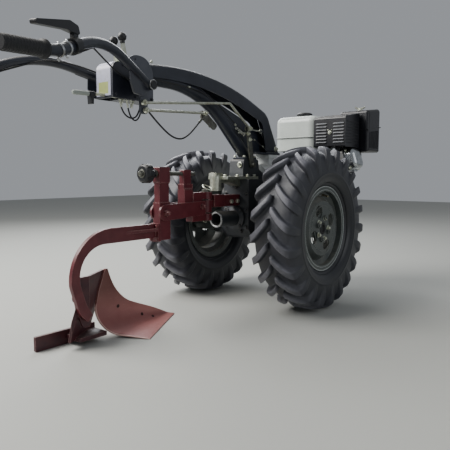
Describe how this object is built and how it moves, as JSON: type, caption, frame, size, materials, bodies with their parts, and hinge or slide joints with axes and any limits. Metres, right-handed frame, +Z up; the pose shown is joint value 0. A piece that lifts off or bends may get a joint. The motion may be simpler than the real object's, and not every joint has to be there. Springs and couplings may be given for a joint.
{
  "type": "two-wheeled walking tractor with mounted single-furrow plough",
  "caption": "Two-wheeled walking tractor with lugged tyres, arched steering column, front engine and a maroon single-furrow plough on its rear coupling.",
  "frame": {"origin": "On the ground, at the middle of the machine's bounding box seen from above", "axes": "+X forward in the driving direction, +Y to the machine's left, +Z up"},
  "size_m": [1.7556, 0.718, 0.9388],
  "materials": {
    "tyre_rubber": "matte",
    "rim_paint": "satin",
    "hub_steel": "satin",
    "casting_grey": "satin",
    "casting_pale": "satin",
    "frame_paint": "satin",
    "head_paint": "satin",
    "zinc": "satin",
    "plough_paint": "satin",
    "worn_steel": "satin",
    "engine_alloy": "satin",
    "engine_black": "satin",
    "engine_sheet": "satin",
    "tank_paint": "gloss",
    "black_plastic": "matte",
    "cover_paint": "satin",
    "black_rubber": "matte"
  },
  "bodies": {
    "chassis": {"axle_housing_left": "casting_grey", "axle_housing_right": "casting_grey", "gearbox": "casting_grey", "clutch_housing": "casting_pale", "pto_tube": "hub_steel", "column_cap": "frame_paint", "column_pipe": "frame_paint", "column_web": "frame_paint", "hitch_bracket": "zinc", "control_head": "head_paint", "head_cover": "cover_paint", "shift_levers": "zinc", "shift_knobs": "black_plastic", "lock_lever": "zinc", "shift_rods": "zinc", "selector_lever": "zinc", "cable_crank": "zinc", "shift_cable": "black_rubber", "hitch_tongue": "plough_paint", "engine_block": "engine_alloy", "cylinder": "engine_alloy", "rocker_cover": "engine_alloy", "fan_housing": "engine_black", "recoil_starter": "engine_black", "fuel_tank": "tank_paint", "fuel_cap": "black_plastic", "exhaust_guard": "engine_sheet", "muffler": "engine_sheet", "air_cleaner": "black_plastic", "carburettor": "engine_alloy", "engine_bed": "frame_paint"},
    "wheel_left": {"tyre_left": "tyre_rubber", "rim_left": "rim_paint", "hub_left": "hub_steel"},
    "wheel_right": {"tyre_right": "tyre_rubber", "rim_right": "rim_paint", "hub_right": "hub_steel"},
    "handlebars": {"handlebar_left": "frame_paint", "handlebar_right": "frame_paint", "handlebar_shaft": "zinc", "grip_left": "black_rubber", "grip_right": "black_rubber", "hand_lever_left": "black_plastic", "hand_lever_right": "black_plastic"},
    "coupling": {"coupling_fork": "plough_paint", "coupling_plates": "plough_paint", "king_pin": "zinc"},
    "plough": {"plough_post": "plough_paint", "plough_beam": "plough_paint", "plough_frog": "plough_paint", "mouldboard": "worn_steel", "landside": "worn_steel"},
    "screw": {"adjusting_screw": "zinc", "screw_knob": "black_plastic"}
  },
  "joints": [
    {"name": "wheel_left_spin", "type": "hinge", "parent": "chassis", "child": "wheel_left", "pos_m": [0.35576, 0.274, 0.31], "axis": [0, 1, 0], "continuous": true},
    {"name": "wheel_right_spin", "type": "hinge", "parent": "chassis", "child": "wheel_right", "pos_m": [0.35576, -0.274, 0.31], "axis": [0, 1, 0], "continuous": true},
    {"name": "handlebar_tilt", "type": "hinge", "parent": "chassis", "child": "handlebars", "pos_m": [-0.27824, 0, 0.786], "axis": [0, 1, 0], "range_deg": [-12, 15]},
    {"name": "coupling_swing", "type": "hinge", "parent": "chassis", "child": "coupling", "pos_m": [0.05376, 0, 0.397], "axis": [0, 0, 1], "range_deg": [-12, 12]},
    {"name": "plough_tilt", "type": "hinge", "parent": "coupling", "child": "plough", "pos_m": [-0.17824, 0, 0.385], "axis": [0, 1, 0], "range_deg": [-6, 6]},
    {"name": "screw_slide", "type": "slide", "parent": "coupling", "child": "screw", "axis": [1, 0, 0], "range_m": [-0.0139, 0.0139]}
  ],
  "couplings": [
    {"joint": "screw_slide", "follows": "plough_tilt", "m_per_rad": 0.131}
  ]
}
